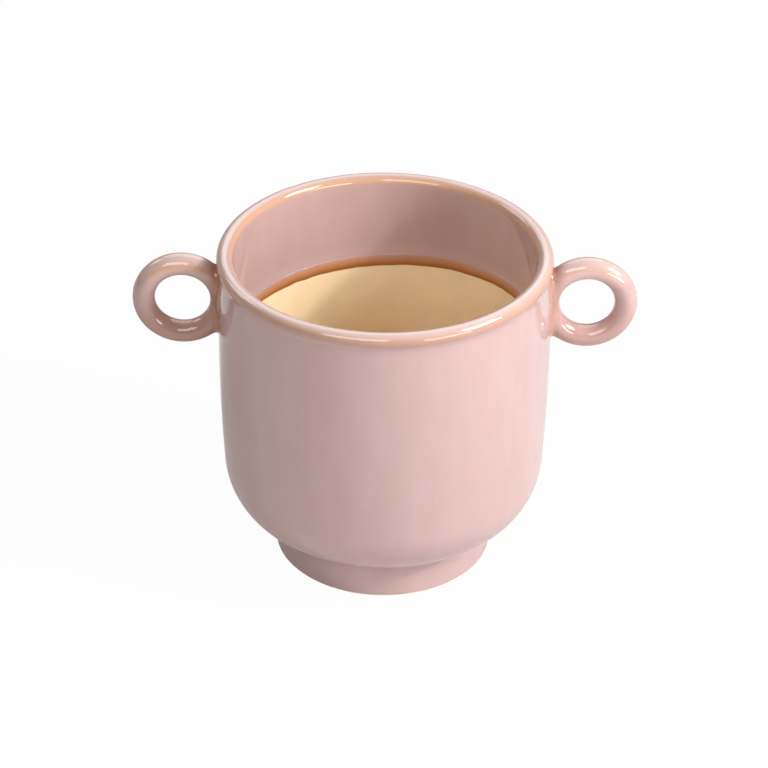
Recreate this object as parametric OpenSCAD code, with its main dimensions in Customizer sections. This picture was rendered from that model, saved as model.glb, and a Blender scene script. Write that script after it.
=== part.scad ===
// Round glazed planter with a rolled rim, a foot ring and two finger rings.
// The origin is the middle of the foot on the floor, +Z is up and the finger rings lie along X.
// Outer sizes are over the glaze, and the clay lies one glaze thickness inside them.

/* [Pot] */
// Height from the floor to the top of the rim
pot_h = 154.4; // [110:0.1:220]
// Outer diameter of the rolled rim
rim_d = 150; // [120:0.5:220]
// Width of the rolled rim, from the bore to its outside
lip_w = 7.2; // [6:0.1:10]
// Step of the side inwards just under the rolled rim
neck_step = 1.6; // [0.5:0.1:3]
// Radius of the hollow in which the side runs out into the rolled rim
neck_r = 6; // [3:0.5:8]
// How far the side swells out between the rim and the lower corner
side_swell = 1.4; // [0.5:0.1:3]
// Radius of the rounded lower corner
corner_r = 31; // [20:0.5:36]
// Thickness of the floor of the pot
floor_t = 8; // [5:0.5:12]
// Radius inside, between the bore and the floor
inner_corner_r = 24; // [14:0.5:30]

/* [Foot] */
// Outer diameter of the foot ring
foot_d = 100; // [76:0.5:120]
// Height of the foot ring up to the underside of the floor
foot_h = 18; // [10:0.5:28]
// Thickness of the foot ring
foot_t = 8; // [5:0.5:12]
// Rounding of the edges that the pot stands on
foot_edge_r = 1.5; // [0.8:0.1:2.2]
// Radius of the hollow between the pot and its foot
foot_joint_r = 2.2; // [1.6:0.1:3]

/* [Finger rings] */
// Clear diameter of the hole in a finger ring
ring_hole_d = 24.5; // [18:0.1:30]
// Thickness of the roll of clay that a finger ring is made of
ring_t = 10.3; // [8:0.1:13]
// Height of the centre of a finger ring below the top of the rim
ring_drop = 25.7; // [25:0.1:40]
// Gap between the hole of a finger ring and the side of the pot
ring_back = 4.1; // [3:0.1:4.9]
// How far the joint fillet reaches from the root of a finger ring
ring_joint_w = 3.6; // [2:0.1:5]

/* [Glaze] */
// Thickness of the glaze
glaze_t = 0.5; // [0.3:0.05:0.8]
// Height of the band above the floor that the glaze leaves bare on the foot
dry_foot_h = 1.2; // [0.6:0.1:3]
// Depth from the top of the rim to where the glaze ends inside
glaze_line_depth = 43.5; // [30:0.1:60]
// Slope of the line where the glaze ends inside, from dipping the pot at an angle
glaze_line_tilt = 3.1; // [0:0.1:5]
// Direction in which that line is highest, turned from the right-hand finger ring
glaze_line_turn = -22; // [-180:1:180]
// Height of the thick roll of glaze along that line
glaze_roll_h = 4.4; // [3:0.1:8]
// How far that roll stands off the clay
glaze_roll_t = 1.1; // [0.9:0.1:1.5]

/* [Hidden] */
$fn = 256;
clay_color = "#dcc39c";
glaze_color = "#d8b4ae";
pooled_color = "#a8653a";

// Extra length of every cut
overrun = 2;

// Rolled rim: a round bead whose inner side is the bore
lip_r = lip_w / 2;
lip_x = rim_d / 2 - lip_r;
lip_z = pot_h - lip_r;
bore_r = rim_d / 2 - lip_w;

// Lower corner: its arc starts at the underside of the floor
corner_z = foot_h + corner_r;

// Side: one shallow arc through the neck under the rim, widest at half its height
side_h = lip_z - corner_z;
side_mid_z = corner_z + side_h / 2;
side_r = (side_h * side_h / 4 + side_swell * side_swell) / (2 * side_swell);
side_x = rim_d / 2 - neck_step + side_swell - side_r;
side_steps = 16;

// Neck: its arc touches the side arc and the bead of the rim from outside
neck_reach = norm([side_x - lip_x, side_mid_z - lip_z]);
neck_turn = atan2(side_mid_z - lip_z, side_x - lip_x) + acos(
    (pow(lip_r + neck_r, 2) + neck_reach * neck_reach - pow(side_r + neck_r, 2))
    / (2 * (lip_r + neck_r) * neck_reach));
neck_x = lip_x + (lip_r + neck_r) * cos(neck_turn);
neck_z = lip_z + (lip_r + neck_r) * sin(neck_turn);
neck_top_z = lip_z + lip_r * sin(neck_turn);
neck_slope = (neck_z - side_mid_z) / (neck_x - side_x);
neck_low_z = side_mid_z + side_r * sin(atan(neck_slope));

// The corner arc touches the side arc from inside
corner_turn = asin((side_mid_z - corner_z) / (side_r - corner_r));
corner_x = side_x + (side_r - corner_r) * cos(corner_turn);

// Inside floor and its rounded corner
floor_z = foot_h + floor_t;
inner_corner_x = bore_r - inner_corner_r;
inner_corner_z = floor_z + inner_corner_r;

// Foot: its side runs up into the corner arc, or into the flat underside if it is narrow
foot_r = foot_d / 2;
foot_joint_z = foot_r > corner_x ?
    corner_z - sqrt(corner_r * corner_r - pow(foot_r - corner_x, 2)) : foot_h;
foot_top_z = foot_joint_z + floor_t / 2;

// Radius at a height of the side, of the bead of the rim, of the neck, and of what stands out
function side_r_at(z) = side_x + sqrt(side_r * side_r - pow(z - side_mid_z, 2));
function bead_r_at(z) =
    abs(z - lip_z) < lip_r ? lip_x + sqrt(lip_r * lip_r - pow(z - lip_z, 2)) : 0;
function neck_r_at(z) =
    z > neck_low_z && z < neck_top_z ? neck_x - sqrt(neck_r * neck_r - pow(z - neck_z, 2)) : 0;
function face_r_at(z) = max(side_r_at(z), bead_r_at(z), neck_r_at(z));

// Finger rings: a closed ring of round clay, pressed on the side so that its back is flat
ring_r = ring_t / 2;
ring_turn_r = ring_hole_d / 2 + ring_r;
ring_z = pot_h - ring_drop;
ring_depth = ring_back + ring_hole_d / 2;
ring_x = side_r_at(ring_z) + ring_depth;
ring_middle = [ring_x, 0, ring_z];

// Joint fillet: its stations round the root, its steps over the hollow, its seat and its edge
joint_stations = 60;
joint_steps = 5;
joint_seat_shares = [2 / 3, 1 / 3];
joint_clear = 0.15;
joint_edge_t = 0.4;
pad_half_h = sqrt(pow(ring_turn_r + ring_r, 2) - ring_depth * ring_depth);
root_near_share = 0.5;
root_far_share = 1.5;
root_tries = 24;

// Clearance that keeps the glaze's solids clear of the clay, and the glaze's inset over it
glaze_clear = 0.1;
glaze_back = glaze_t - glaze_clear;

// Line where the glaze ends inside, and the room below it for its slope
glaze_line_z = pot_h - glaze_line_depth;
glaze_line_room = bore_r * tan(glaze_line_tilt) + glaze_roll_h;
bore_clay_r = bore_r + glaze_t;
glaze_roll_r = (glaze_roll_h * glaze_roll_h / 4 + glaze_roll_t * glaze_roll_t) / (2 * glaze_roll_t);

// Inside of the side arc, from the lower corner up to the rim, with points along the arc
module side_strip(inset) {
    arc = [for (i = [0 : side_steps])
        let (z = corner_z + side_h * i / side_steps)
        [side_r_at(z) - inset, z]];
    polygon(concat([[0, corner_z]], arc, [[0, lip_z]]));
}

// Inside of the neck, between the lines from its centre to the bead's and to the side's
module neck_strip(inset) {
    difference() {
        polygon([[lip_x, lip_z], [neck_x, neck_z], [0, neck_z - neck_slope * neck_x], [0, lip_z]]);
        translate([neck_x, neck_z]) circle(r = neck_r + inset);
    }
}

// Outline of the pot filled up to the middle of the rim, taken in by inset all round
module pot_outline(inset) {
    union() {
        side_strip(inset);
        neck_strip(inset);
        intersection() {
            translate([corner_x, corner_z]) circle(r = corner_r - inset);
            square([rim_d, lip_z]);
        }
        translate([0, foot_h + inset]) square([corner_x, corner_r - inset]);
        translate([lip_x, lip_z]) circle(r = lip_r - inset);
    }
}

// Bore of the pot down to its floor, widened by inset
module pot_bore(inset) {
    union() {
        translate([0, inner_corner_z])
            square([bore_r + inset, pot_h - inner_corner_z + overrun]);
        translate([inner_corner_x + inset, inner_corner_z]) circle(r = inner_corner_r);
        translate([0, floor_z]) square([inner_corner_x + inset, inner_corner_r + overrun]);
    }
}

// Section of the wall, the floor and the bead, with the clay's own size at inset glaze_t
module wall_section(inset) {
    union() {
        difference() {
            pot_outline(inset);
            pot_bore(inset);
            translate([0, lip_z]) square([rim_d, lip_w]);
        }
        translate([lip_x, lip_z]) circle(r = lip_r - inset);
    }
}

// Section of the foot ring with both standing edges rounded, running up into the floor
module foot_section(inset) {
    width = foot_t - inset;
    translate([foot_r - foot_t, 0]) union() {
        translate([0, foot_edge_r]) square([width, foot_top_z - foot_edge_r]);
        translate([foot_edge_r, 0]) square([width - 2 * foot_edge_r, foot_h]);
        for (x = [foot_edge_r, width - foot_edge_r])
            translate([x, foot_edge_r]) circle(r = foot_edge_r);
    }
}

// Section of the glaze: over the side, the foot and the rim, and down the bore to its line
module glaze_section() {
    difference() {
        union() {
            wall_section(0);
            foot_section(0);
        }
        wall_section(glaze_back);
        foot_section(glaze_back);
        intersection() {
            pot_bore(glaze_t);
            square([rim_d, glaze_line_z - glaze_line_room]);
        }
        square([foot_r - glaze_back, foot_top_z]);
        square([rim_d, dry_foot_h]);
    }
}

// Everything inside the outer face of the clay pot
module clay_pot_filled() {
    rotate_extrude() pot_outline(glaze_t);
}

// One finger ring that faces +X, over its glaze, or over its clay at inset glaze_t
module ring_torus(inset) {
    translate(ring_middle) rotate([90, 0, 0]) rotate_extrude()
        translate([ring_turn_r, 0]) circle(r = ring_r - inset);
}

// Round tube of glaze along the sloping line inside, with its middle in the wall
module roll_torus() {
    translate([0, 0, glaze_line_z]) rotate([0, -glaze_line_tilt, glaze_line_turn]) rotate_extrude()
        translate([bore_clay_r + glaze_roll_r - glaze_roll_t, 0]) circle(r = glaze_roll_r);
}

// Points just off the glaze of the side and of the ring, and the ways out of both
function unit(v) = v / norm(v);
function on_side(y, z) =
    let (r = face_r_at(z) + joint_clear)
    [sqrt(r * r - y * y), y, z];
function out_of_side(p) =
    let (flat = norm([p[0], p[1]]))
    unit([p[0], p[1], flat * (p[2] - side_mid_z) / (side_r_at(p[2]) - side_x)]);
function in_roll(p) =
    ring_middle + ring_turn_r * unit([p[0] - ring_x, 0, p[2] - ring_z]);
function out_of_ring(p) = unit(p - in_roll(p));
function on_ring(p) = in_roll(p) + (ring_r + joint_clear) * out_of_ring(p);
function inside_ring(p) = norm(p - in_roll(p)) < ring_r + joint_clear;

// Root of the ring: where a ray over the side, from the middle of its back, leaves the ring
function root_reach(ray, near, far, tries) =
    let (half = (near + far) / 2)
    tries == 0 ? half :
    inside_ring(on_side(ray[0] * half, ring_z + ray[1] * half)) ?
        root_reach(ray, half, far, tries - 1) :
        root_reach(ray, near, half, tries - 1);
function root_point(turn) =
    let (ray = [ring_r * cos(turn), pad_half_h * sin(turn)])
    let (reach = root_reach(ray, root_near_share, root_far_share, root_tries))
    on_side(ray[0] * reach, ring_z + ray[1] * reach);

// Section of the fillet at one station: the hollow curve from side to ring, then its back
function joint_section(turn) =
    let (root = root_point(turn))
    let (along = unit(cross(out_of_ring(root), out_of_side(root))))
    let (over_side = cross(out_of_side(root), along))
    let (over_ring = cross(along, out_of_ring(root)))
    let (reach = root + ring_joint_w * over_side)
    let (low = on_side(reach[1], reach[2]))
    let (high = on_ring(root + ring_joint_w * over_ring))
    let (low_top = low + joint_edge_t * out_of_side(low))
    let (high_top = high + joint_edge_t * out_of_ring(high))
    let (corner = root + joint_edge_t * (out_of_side(root) + out_of_ring(root)))
    concat(
        [for (i = [0 : joint_steps])
            let (t = i / joint_steps)
            (1 - t) * (1 - t) * low_top + 2 * t * (1 - t) * corner + t * t * high_top],
        [high],
        [for (share = joint_seat_shares) on_ring(root + share * (high - root))],
        [root, low]);

// Fillet all round the root of one finger ring, closed on itself
module joint_fillet() {
    sections = [for (k = [0 : joint_stations - 1]) joint_section(360 * k / joint_stations)];
    rows = len(sections[0]);
    faces = [for (k = [0 : joint_stations - 1], i = [0 : rows - 1])
        let (here = k * rows, next = (k + 1) % joint_stations * rows, j = (i + 1) % rows)
        each [[here + i, next + i, here + j], [next + i, next + j, here + j]]];
    polyhedron(points = [for (section = sections) each section], faces = faces);
}

// Clay pot: side, floor and rolled rim
module pot_body() {
    color(clay_color) rotate_extrude() wall_section(glaze_t);
}

// Clay ring under the pot
module foot_ring() {
    color(clay_color) difference() {
        rotate_extrude() foot_section(glaze_t);
        clay_pot_filled();
    }
}

// Slip and glaze in the corner between the pot and its foot
module foot_joint() {
    color(pooled_color) rotate_extrude() difference() {
        translate([foot_r, foot_joint_z - foot_joint_r])
            square([foot_joint_r, 2 * foot_joint_r]);
        translate([foot_r + foot_joint_r, foot_joint_z - foot_joint_r])
            circle(r = foot_joint_r);
        pot_outline(0);
    }
}

// Roll of clay bent to a ring and pressed on the clay pot
module finger_ring() {
    color(clay_color) difference() {
        ring_torus(glaze_t);
        clay_pot_filled();
    }
}

module finger_ring_left() {
    mirror([1, 0, 0]) finger_ring();
}

module finger_ring_right() {
    finger_ring();
}

// Slip smoothed round the root of a finger ring, with the glaze that pools on it
module ring_joint_left() {
    color(pooled_color) mirror([1, 0, 0]) joint_fillet();
}

module ring_joint_right() {
    color(pooled_color) joint_fillet();
}

// Glaze over the outside of the pot and its foot, over the rim and into the bore
module pot_glaze() {
    color(glaze_color) difference() {
        rotate_extrude() glaze_section();
        translate([0, 0, glaze_line_z]) rotate([0, -glaze_line_tilt, glaze_line_turn])
            translate([0, 0, -2 * glaze_line_room])
            cylinder(r = bore_clay_r + glaze_t, h = 2 * glaze_line_room);
        roll_torus();
        ring_torus(0);
        mirror([1, 0, 0]) ring_torus(0);
    }
}

// Glaze on one finger ring, from its clay out to its full size
module ring_glaze() {
    color(glaze_color) difference() {
        ring_torus(0);
        ring_torus(glaze_back);
        clay_pot_filled();
    }
}

module ring_glaze_left() {
    mirror([1, 0, 0]) ring_glaze();
}

module ring_glaze_right() {
    ring_glaze();
}

// Glaze that ran down the bore and gathered in a roll where the dipping stopped
module glaze_roll() {
    color(pooled_color) difference() {
        roll_torus();
        rotate_extrude() wall_section(glaze_back);
    }
}

pot_body();
foot_ring();
foot_joint();
finger_ring_left();
finger_ring_right();
ring_joint_left();
ring_joint_right();
pot_glaze();
ring_glaze_left();
ring_glaze_right();
glaze_roll();
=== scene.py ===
"""Glazed stoneware planter with a rolled rim, a foot ring and two finger rings.

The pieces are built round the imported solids, in metres, with +Z up and the finger rings along X.
"""

import math

import bmesh
import bpy
import numpy as np
from bpy.props import FloatProperty, FloatVectorProperty, IntProperty, PointerProperty
from mathutils import Matrix, Vector


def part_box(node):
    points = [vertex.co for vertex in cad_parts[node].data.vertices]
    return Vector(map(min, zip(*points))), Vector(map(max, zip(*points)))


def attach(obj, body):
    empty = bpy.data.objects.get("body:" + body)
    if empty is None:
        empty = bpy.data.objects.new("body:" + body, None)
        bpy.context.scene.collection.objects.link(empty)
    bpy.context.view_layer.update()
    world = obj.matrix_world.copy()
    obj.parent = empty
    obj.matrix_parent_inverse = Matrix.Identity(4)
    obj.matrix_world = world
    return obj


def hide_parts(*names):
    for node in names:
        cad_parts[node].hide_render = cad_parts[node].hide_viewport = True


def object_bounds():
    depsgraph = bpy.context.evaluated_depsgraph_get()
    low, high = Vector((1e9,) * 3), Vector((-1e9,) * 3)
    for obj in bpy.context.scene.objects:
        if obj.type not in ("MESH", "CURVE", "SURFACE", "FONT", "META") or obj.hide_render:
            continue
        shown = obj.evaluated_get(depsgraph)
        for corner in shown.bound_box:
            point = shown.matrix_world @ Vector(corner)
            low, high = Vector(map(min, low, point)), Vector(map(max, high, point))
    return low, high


bl_info = {
    "name": "Glazed Planter",
    "version": (1, 0, 0),
    "blender": (4, 5, 0),
    "location": "3D View > Sidebar > Planter",
    "description": "Builds a glazed stoneware planter with two finger rings, and its studio",
    "category": "Add Mesh",
}

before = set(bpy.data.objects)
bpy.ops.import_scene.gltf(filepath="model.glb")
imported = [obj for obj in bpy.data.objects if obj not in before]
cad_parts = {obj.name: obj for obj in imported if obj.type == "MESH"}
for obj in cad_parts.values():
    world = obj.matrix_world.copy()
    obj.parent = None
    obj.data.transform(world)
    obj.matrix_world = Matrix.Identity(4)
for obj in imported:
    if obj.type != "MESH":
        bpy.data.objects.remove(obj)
CAD_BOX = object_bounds()
POT_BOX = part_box("pot_glaze")

MM = 0.001
BODY = "root"
# What a section says at each point: how strongly the throwing lines show, how far the point
# follows the glaze line, and its height over that line
MARKS = ("thrown", "line_share", "over_edge")
FAR_FROM_LINE = 1.0
WANDER_SEED = 3.7
MERGE_DISTANCE = 1e-6
# A coat's back lies at this share of its thickness, just clear of the clay
COAT_SHARE = 0.98
FOOT_SEGMENTS = 256
# Points on the side of the clay pot and of what cuts the rings to fit it
SIDE_STEPS = 36
HALVINGS = 30


def linear(hex_color):
    """The linear colour that an sRGB hex value stands for."""
    channels = [int(hex_color[i : i + 2], 16) / 255 for i in (1, 3, 5)]
    return tuple(
        c / 12.92 if c <= 0.04045 else ((c + 0.055) / 1.055) ** 2.4 for c in channels
    )


def length(name, description, default):
    """A property for a size in metres."""
    return FloatProperty(
        name=name, description=description, default=default, min=0, unit="LENGTH", precision=5
    )


def angle(name, description, default):
    """A property for an angle that is given in degrees."""
    return FloatProperty(
        name=name, description=description, default=math.radians(default), unit="ROTATION"
    )


def colour(name, description, default):
    """A property for a colour that is given as an sRGB hex value."""
    return FloatVectorProperty(
        name=name, description=description, default=linear(default), subtype="COLOR", size=3,
        min=0, max=1,
    )


def power(name, description, default):
    """A property for the power of a lamp or of the sky."""
    return FloatProperty(name=name, description=description, default=default, min=0)


class PotSizes(bpy.types.PropertyGroup):
    """Sizes of the turned pot, over its glaze"""

    height: length("Height", "From the floor to the top of the rim", CAD_BOX[1][2])
    rim_diameter: length("Rim Diameter", "Outer diameter of the rolled rim", 2 * POT_BOX[1][1])
    lip_width: length("Lip Width", "From the bore to the outside of the rim", 7.2 * MM)
    neck_step: length("Neck Step", "Step of the side inwards under the rim", 1.6 * MM)
    neck_radius: length("Neck Radius", "Radius of the hollow under the rim", 6 * MM)
    side_swell: length("Side Swell", "How far the side swells out at half its height", 1.4 * MM)
    corner_radius: length("Corner Radius", "Radius of the rounded lower corner", 31 * MM)
    floor_thickness: length("Floor Thickness", "Thickness of the pot's floor", 8 * MM)
    inner_corner_radius: length("Inner Corner Radius", "Radius from bore to floor", 24 * MM)
    foot_diameter: length("Foot Diameter", "Outer diameter of the foot ring", 100 * MM)
    foot_height: length("Foot Height", "Up to the underside of the floor", 18 * MM)
    foot_thickness: length("Foot Thickness", "Thickness of the foot ring", 8 * MM)
    foot_edge_radius: length("Foot Edge Radius", "Rounding of the standing edges", 1.5 * MM)
    foot_root_radius: length("Foot Root Radius", "Hollow between pot and foot", 2.2 * MM)
    glaze_thickness: length("Glaze Thickness", "Thickness of the glaze coat", 0.5 * MM)
    dry_foot_height: length("Dry Foot Height", "Height of the bare band on the foot", 1.2 * MM)
    throwing_height: length("Throwing Line Height", "Depth of the lines in the clay", 0.16 * MM)
    throwing_spacing: length("Throwing Line Spacing", "From line to line", 3.2 * MM)
    segments: IntProperty(
        name="Segments", description="Faces round the pot", default=320, min=24, max=640
    )


class RingSizes(bpy.types.PropertyGroup):
    """Sizes of the two finger rings, over their glaze"""

    hole_diameter: length("Hole Diameter", "Clear diameter of the hole", 24.5 * MM)
    roll_diameter: length("Roll Diameter", "Thickness of the roll of clay", 10.3 * MM)
    drop: length("Drop", "Depth of the ring's centre below the rim", 25.7 * MM)
    back_gap: length("Back Gap", "From the hole to the pot's side", 4.1 * MM)
    root_width: length("Root Width", "Reach of the hollow round the ring's root", 3.6 * MM)


class GlazeLine(bpy.types.PropertyGroup):
    """Where the glaze ends inside the pot"""

    depth: length("Depth", "From the rim to the edge of the glaze", 45.7 * MM)
    tilt: angle("Tilt", "Slope of the line, from dipping at an angle", 3.1)
    turn: angle("Turn", "Direction in which the line is highest", -22)
    wander: length("Wander", "How far the line wanders up and down", 1.3 * MM)
    bead_height: length("Bead Height", "Height of the gathered glaze", 5.2 * MM)
    bead_proud: length("Bead Proud", "How far it stands off the clay", 0.95 * MM)


class Finish(bpy.types.PropertyGroup):
    """Colours of the clay and of the glaze"""

    clay: colour("Clay", "Bare fired stoneware", "#f6dfb8")
    pink: colour("Pink", "The glaze on open faces", "#ba9b98")
    milk: colour("Milk", "The glaze where it lies thick", "#bfa3a2")
    # Whitish: the rim's crown and the rings' tops, partly a lighter glaze, partly painted light
    # from above
    whitish_and_top_light: colour("Pale", "The glaze on the crown of the rim", "#d8c0b8")
    amber: colour("Amber", "The glaze where it is thin, over edges", "#cf9f7a")
    rose: colour("Rose", "The upper edge of the gathered glaze", "#b98b77")
    caramel: colour("Caramel", "The upper half of the gathered glaze", "#b67c50")
    # Toffee also stands for painted shade under the rings and on the left ring
    toffee: colour("Toffee", "The glaze where it has gathered", "#a0622f")
    # Umber at the bead's lowest edge is partly painted shade under its round underside
    umber: colour("Umber", "The lowest edge of the gathered glaze", "#834a22")


class Studio(bpy.types.PropertyGroup):
    """Camera and lights"""

    lens: FloatProperty(
        name="Lens",
        description="Focal length",
        default=133.6,
        unit="CAMERA",
        subtype="DISTANCE_CAMERA",
    )
    distance: length("Distance", "From the camera to the pot's axis", 1301.9 * MM)
    aim_height: length("Aim Height", "Height that the camera looks at", 83.83 * MM)
    elevation: angle("Elevation", "Of the camera above the horizon", 32.4)
    azimuth: angle("Azimuth", "Of the camera round the pot", 0.28)
    roll: angle("Roll", "Of the camera round its own axis", -0.478)
    key_power: power("Key", "Power of the small lamp", 7.5)
    soft_power: power("Softbox", "Power of the main softbox", 20)
    low_power: power("Low", "Power of the low fill", 7)
    top_power: power("Top", "Power of the top softbox", 12.5)
    left_power: power("Left", "Power of the left fill", 9)
    back_power: power("Back", "Power of the rear fill", 4)
    sky: power("Sky", "Light from all round", 0)


GROUPS = {
    "planter_pot": PotSizes,
    "planter_rings": RingSizes,
    "planter_line": GlazeLine,
    "planter_finish": Finish,
    "planter_studio": Studio,
}


# Form of the pot, worked out from its sizes


class PotForm:
    """Lines of the pot's section that several pieces share, and the places of its rings. Inset is
    how far a face lies inside the glaze's outer face."""

    def __init__(self):
        self.pot = pot = bpy.context.scene.planter_pot
        self.rim_r = pot.rim_diameter / 2
        self.lip_r = pot.lip_width / 2
        self.lip_x = self.rim_r - self.lip_r
        self.lip_z = pot.height - self.lip_r
        self.bore_r = self.rim_r - pot.lip_width
        self.bore_clay_r = self.bore_r + pot.glaze_thickness
        self.corner_z = pot.foot_height + pot.corner_radius
        half = (self.lip_z - self.corner_z) / 2
        self.side_mid_z = self.corner_z + half
        self.side_r = (half**2 + pot.side_swell**2) / (2 * pot.side_swell)
        self.side_x = self.rim_r - pot.neck_step + pot.side_swell - self.side_r
        # The lower corner touches the side from inside
        reach = self.side_r - pot.corner_radius
        self.corner_turn = math.asin(half / reach)
        self.corner_x = self.side_x + reach * math.cos(self.corner_turn)
        self.floor_z = pot.foot_height + pot.floor_thickness
        self.foot_r = pot.foot_diameter / 2
        # The hollow under the rim touches the side and the bead of the rim from outside
        reach = math.hypot(self.side_x - self.lip_x, self.side_mid_z - self.lip_z)
        near, far = self.lip_r + pot.neck_radius, self.side_r + pot.neck_radius
        self.neck_turn = math.atan2(self.side_mid_z - self.lip_z, self.side_x - self.lip_x)
        self.neck_turn += math.acos((near**2 + reach**2 - far**2) / (2 * near * reach))
        self.neck_x = self.lip_x + near * math.cos(self.neck_turn)
        self.neck_z = self.lip_z + near * math.sin(self.neck_turn)
        self.neck_lean = math.atan2(self.neck_z - self.side_mid_z, self.neck_x - self.side_x)
        self.neck_low_z = self.side_mid_z + self.side_r * math.sin(self.neck_lean)
        # Centre of the right ring, and the radii of both rings and of their rolls
        rings = bpy.context.scene.planter_rings
        hole_r, self.roll_r = rings.hole_diameter / 2, rings.roll_diameter / 2
        self.ring_r = hole_r + self.roll_r
        self.ring_z = pot.height - rings.drop
        self.ring_x = float(self.side_r_at(self.ring_z)) + rings.back_gap + hole_r

    def side_r_at(self, z):
        return self.side_x + np.sqrt(self.side_r**2 - (z - self.side_mid_z) ** 2)

    def corner_arc(self, inset, start_r, steps):
        """Points of the lower corner, from that distance off the axis up to the side."""
        radius = self.pot.corner_radius - inset
        start = -math.acos(max(-1, min(1, (start_r - self.corner_x) / radius)))
        return arc(self.corner_x, self.corner_z, radius, start, -self.corner_turn, steps)

    def side(self, inset, steps):
        """Points of the side, from the lower corner to the hollow under the rim."""
        low = self.corner_z - self.pot.corner_radius * math.sin(self.corner_turn)
        heights = np.linspace(low, self.neck_low_z, steps + 2)[1:-1]
        return [(float(self.side_r_at(z)) - inset, float(z)) for z in heights]

    def rim(self, inset, steps):
        """Points of the hollow and the bead of the rim, round to the bore."""
        radius, turn = self.pot.neck_radius + inset, self.neck_turn
        start = math.pi + self.neck_lean
        hollow = arc(self.neck_x, self.neck_z, radius, start, math.pi + turn, max(6, steps // 3))
        bead = arc(self.lip_x, self.lip_z, self.lip_r - inset, turn, math.pi, steps)
        return hollow + bead[1:]

    def foot_hollow(self):
        """Centre of the hollow at the foot's root, and its turn where it touches the pot."""
        radius = self.pot.foot_root_radius
        x = self.foot_r + radius
        z = self.corner_height(x, -radius)
        return x, z, math.atan2(self.corner_z - z, self.corner_x - x)

    def corner_height(self, r, inset=0.0):
        """Height of the lower corner at a distance r from the axis."""
        radius = self.pot.corner_radius - inset
        return self.corner_z - math.sqrt(radius**2 - max(0.0, r - self.corner_x) ** 2)


def arc(x, z, radius, start, end, steps):
    """Points of an arc in the section, with its angles from +X in radians."""
    turns = np.linspace(start, end, steps + 1)
    return [(x + radius * math.cos(t), z + radius * math.sin(t)) for t in turns]


def spaced(start, end, gap):
    """Points of a straight line, no further apart than the gap."""
    steps = max(1, math.ceil(math.dist(start, end) / gap))
    return [tuple(a + (b - a) * i / steps for a, b in zip(start, end)) for i in range(steps + 1)]


def smoothstep(x):
    x = np.clip(x, 0, 1)
    return x * x * (3 - 2 * x)


# Node trees

MATH = "ShaderNodeMath"
NOISE = "ShaderNodeTexNoise"
RANGE = "ShaderNodeMapRange"
VECTOR = "ShaderNodeCombineXYZ"


def add(tree, kind, *inputs, **settings):
    """A node of that kind, with its settings. Its inputs come in their order, or by name in one
    dict, and each is linked to a socket or to a node's first output, or given its value."""
    node = tree.nodes.new(kind)
    for name, value in settings.items():
        setattr(node, name, value)
    pairs = inputs[0].items() if inputs and isinstance(inputs[0], dict) else enumerate(inputs)
    for key, value in pairs:
        if isinstance(value, bpy.types.Node):
            value = value.outputs[0]
        if isinstance(value, bpy.types.NodeSocket):
            tree.links.new(value, node.inputs[key])
        else:
            node.inputs[key].default_value = value
    return node


def new_tree(name, *rows):
    """A tree with a geometry output and named inputs, each of its kind, and what they give."""
    tree = bpy.data.node_groups.new(name, "GeometryNodeTree")
    for label, kind, *subtype in rows:
        socket = tree.interface.new_socket(label, in_out="INPUT", socket_type="NodeSocket" + kind)
        if subtype:
            socket.subtype = subtype[0]
    tree.interface.new_socket("Geometry", in_out="OUTPUT", socket_type="NodeSocketGeometry")
    return tree, add(tree, "NodeGroupInput").outputs


def numbered_grid(tree, columns, rows):
    """A flat grid, and the column and the row that each of its points stands in."""
    grid = add(tree, "GeometryNodeMeshGrid", {"Vertices X": columns, "Vertices Y": rows})
    index = add(tree, "GeometryNodeInputIndex")
    share = add(tree, MATH, index, rows, operation="DIVIDE")
    column = add(tree, MATH, share, operation="FLOOR")
    row = add(tree, MATH, index, rows, operation="MODULO")
    return grid, column, row


def turn_of(tree, number, steps):
    """The angle of a numbered step round a circle, with its cosine and its sine."""
    step = add(tree, MATH, math.tau, steps, operation="DIVIDE")
    turn = add(tree, MATH, number, step, operation="MULTIPLY")
    return turn, *(add(tree, MATH, turn, operation=part) for part in ("COSINE", "SINE"))


def noise_round(tree, circle, third, radius=1.0, scale=1.0, detail=2.0, middle=0.5):
    """Noise read round a circle of that radius, so that it closes on itself, less its middle."""
    x, y = (add(tree, MATH, part, radius, operation="MULTIPLY") for part in circle)
    where = add(tree, VECTOR, x, y, third)
    noise = add(tree, NOISE, {"Vector": where, "Scale": scale, "Detail": detail})
    return add(tree, MATH, noise, middle, operation="SUBTRACT")


def finish_tree(tree, mesh, position, material):
    """Puts the points in place, closes seams and poles, shades smooth, sets the material and ends
    the tree."""
    form = add(tree, "GeometryNodeSetPosition", {"Geometry": mesh, "Position": position})
    form = add(tree, "GeometryNodeMergeByDistance", {"Geometry": form, "Distance": MERGE_DISTANCE})
    form = add(tree, "GeometryNodeSetShadeSmooth", {"Geometry": form})
    form = add(tree, "GeometryNodeRealizeInstances", {"Geometry": form})
    form = add(tree, "GeometryNodeSetMaterial", {"Geometry": form, "Material": material})
    add(tree, "NodeGroupOutput", {"Geometry": form})
    return tree


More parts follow.
